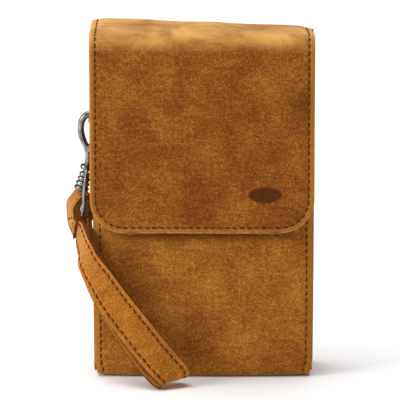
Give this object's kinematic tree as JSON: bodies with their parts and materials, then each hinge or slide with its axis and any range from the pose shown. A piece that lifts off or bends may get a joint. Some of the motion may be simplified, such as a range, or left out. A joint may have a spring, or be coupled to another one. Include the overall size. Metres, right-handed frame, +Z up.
{
  "type": "wristlet wallet",
  "caption": "Upright suede phone wallet with a fold-over flap, magnetic snap, side D-ring, snap hook and detachable wrist strap.",
  "frame": {"origin": "centre of the flat underside that the wallet stands on", "axes": "+X to the wallet's right seen from the front, +Y to its back, +Z up towards the flap fold"},
  "size_m": [0.1241, 0.0595, 0.1748],
  "materials": {
    "suede": "cognac suede, matte, short nap",
    "strap_suede": "more saturated cognac suede, matte",
    "lining": "brown cotton twill",
    "thread": "waxed dark brown polyester thread",
    "gunmetal": "antique gunmetal plating, satin"
  },
  "bodies": {
    "wallet_body": {"body_wrap": "suede", "left_gusset": "suede", "right_gusset": "suede", "lining_bag": "lining", "card_pocket_1": "lining", "card_pocket_2": "lining", "card_pocket_3": "lining", "card_pocket_4": "lining", "divider_panel": "lining", "snap_socket": "gunmetal", "snap_socket_washer": "gunmetal", "left_front_stitching": "thread", "left_back_stitching": "thread", "right_front_stitching": "thread", "right_back_stitching": "thread", "ring_tab": "suede", "tab_stitching": "thread"},
    "flap_top": {"flap_top": "suede", "flap_top_lining": "lining"},
    "flap_front": {"flap_front": "suede", "flap_front_lining": "lining", "flap_stitching": "thread", "snap_stud": "gunmetal"},
    "ring": {"d_ring": "gunmetal"},
    "hook": {"snap_hook": "gunmetal", "gate_pin": "gunmetal"},
    "gate": {"hook_gate": "gunmetal"},
    "bail": {"bail": "gunmetal"},
    "strap": {"wrist_strap": "strap_suede", "strap_near_stitching": "thread", "strap_far_stitching": "thread"}
  },
  "joints": [
    {"name": "flap_back_fold", "type": "hinge", "parent": "wallet_body", "child": "flap_top", "pos_m": [0, 0.0153, 0.1741], "axis": [-1, 0, 0], "range_deg": [0, 170]},
    {"name": "flap_front_fold", "type": "hinge", "parent": "flap_top", "child": "flap_front", "pos_m": [0, -0.0199, 0.1741], "axis": [-1, 0, 0], "range_deg": [0, 90]},
    {"name": "ring_swing", "type": "hinge", "parent": "wallet_body", "child": "ring", "pos_m": [-0.0513, -0.0015, 0.1431], "axis": [0, 1, 0], "range_deg": [0, 90]},
    {"name": "hook_swing", "type": "hinge", "parent": "ring", "child": "hook", "pos_m": [-0.056, -0.0015, 0.1285], "axis": [0, 1, 0], "range_deg": [0, 45]},
    {"name": "gate_open", "type": "hinge", "parent": "hook", "child": "gate", "pos_m": [-0.056, -0.0015, 0.1145], "axis": [0, -1, 0], "range_deg": [0, 16], "stiffness_Nm_per_rad": 0.004, "springref_deg": -20.05},
    {"name": "bail_swivel", "type": "hinge", "parent": "hook", "child": "bail", "pos_m": [-0.0581, -0.0015, 0.1045], "axis": [0.2387, 0, 0.9711], "range_deg": [-200, 0]},
    {"name": "strap_swing", "type": "hinge", "parent": "bail", "child": "strap", "pos_m": [-0.0602, -0.0015, 0.083], "axis": [0, 1, 0], "range_deg": [0, 55]}
  ]
}
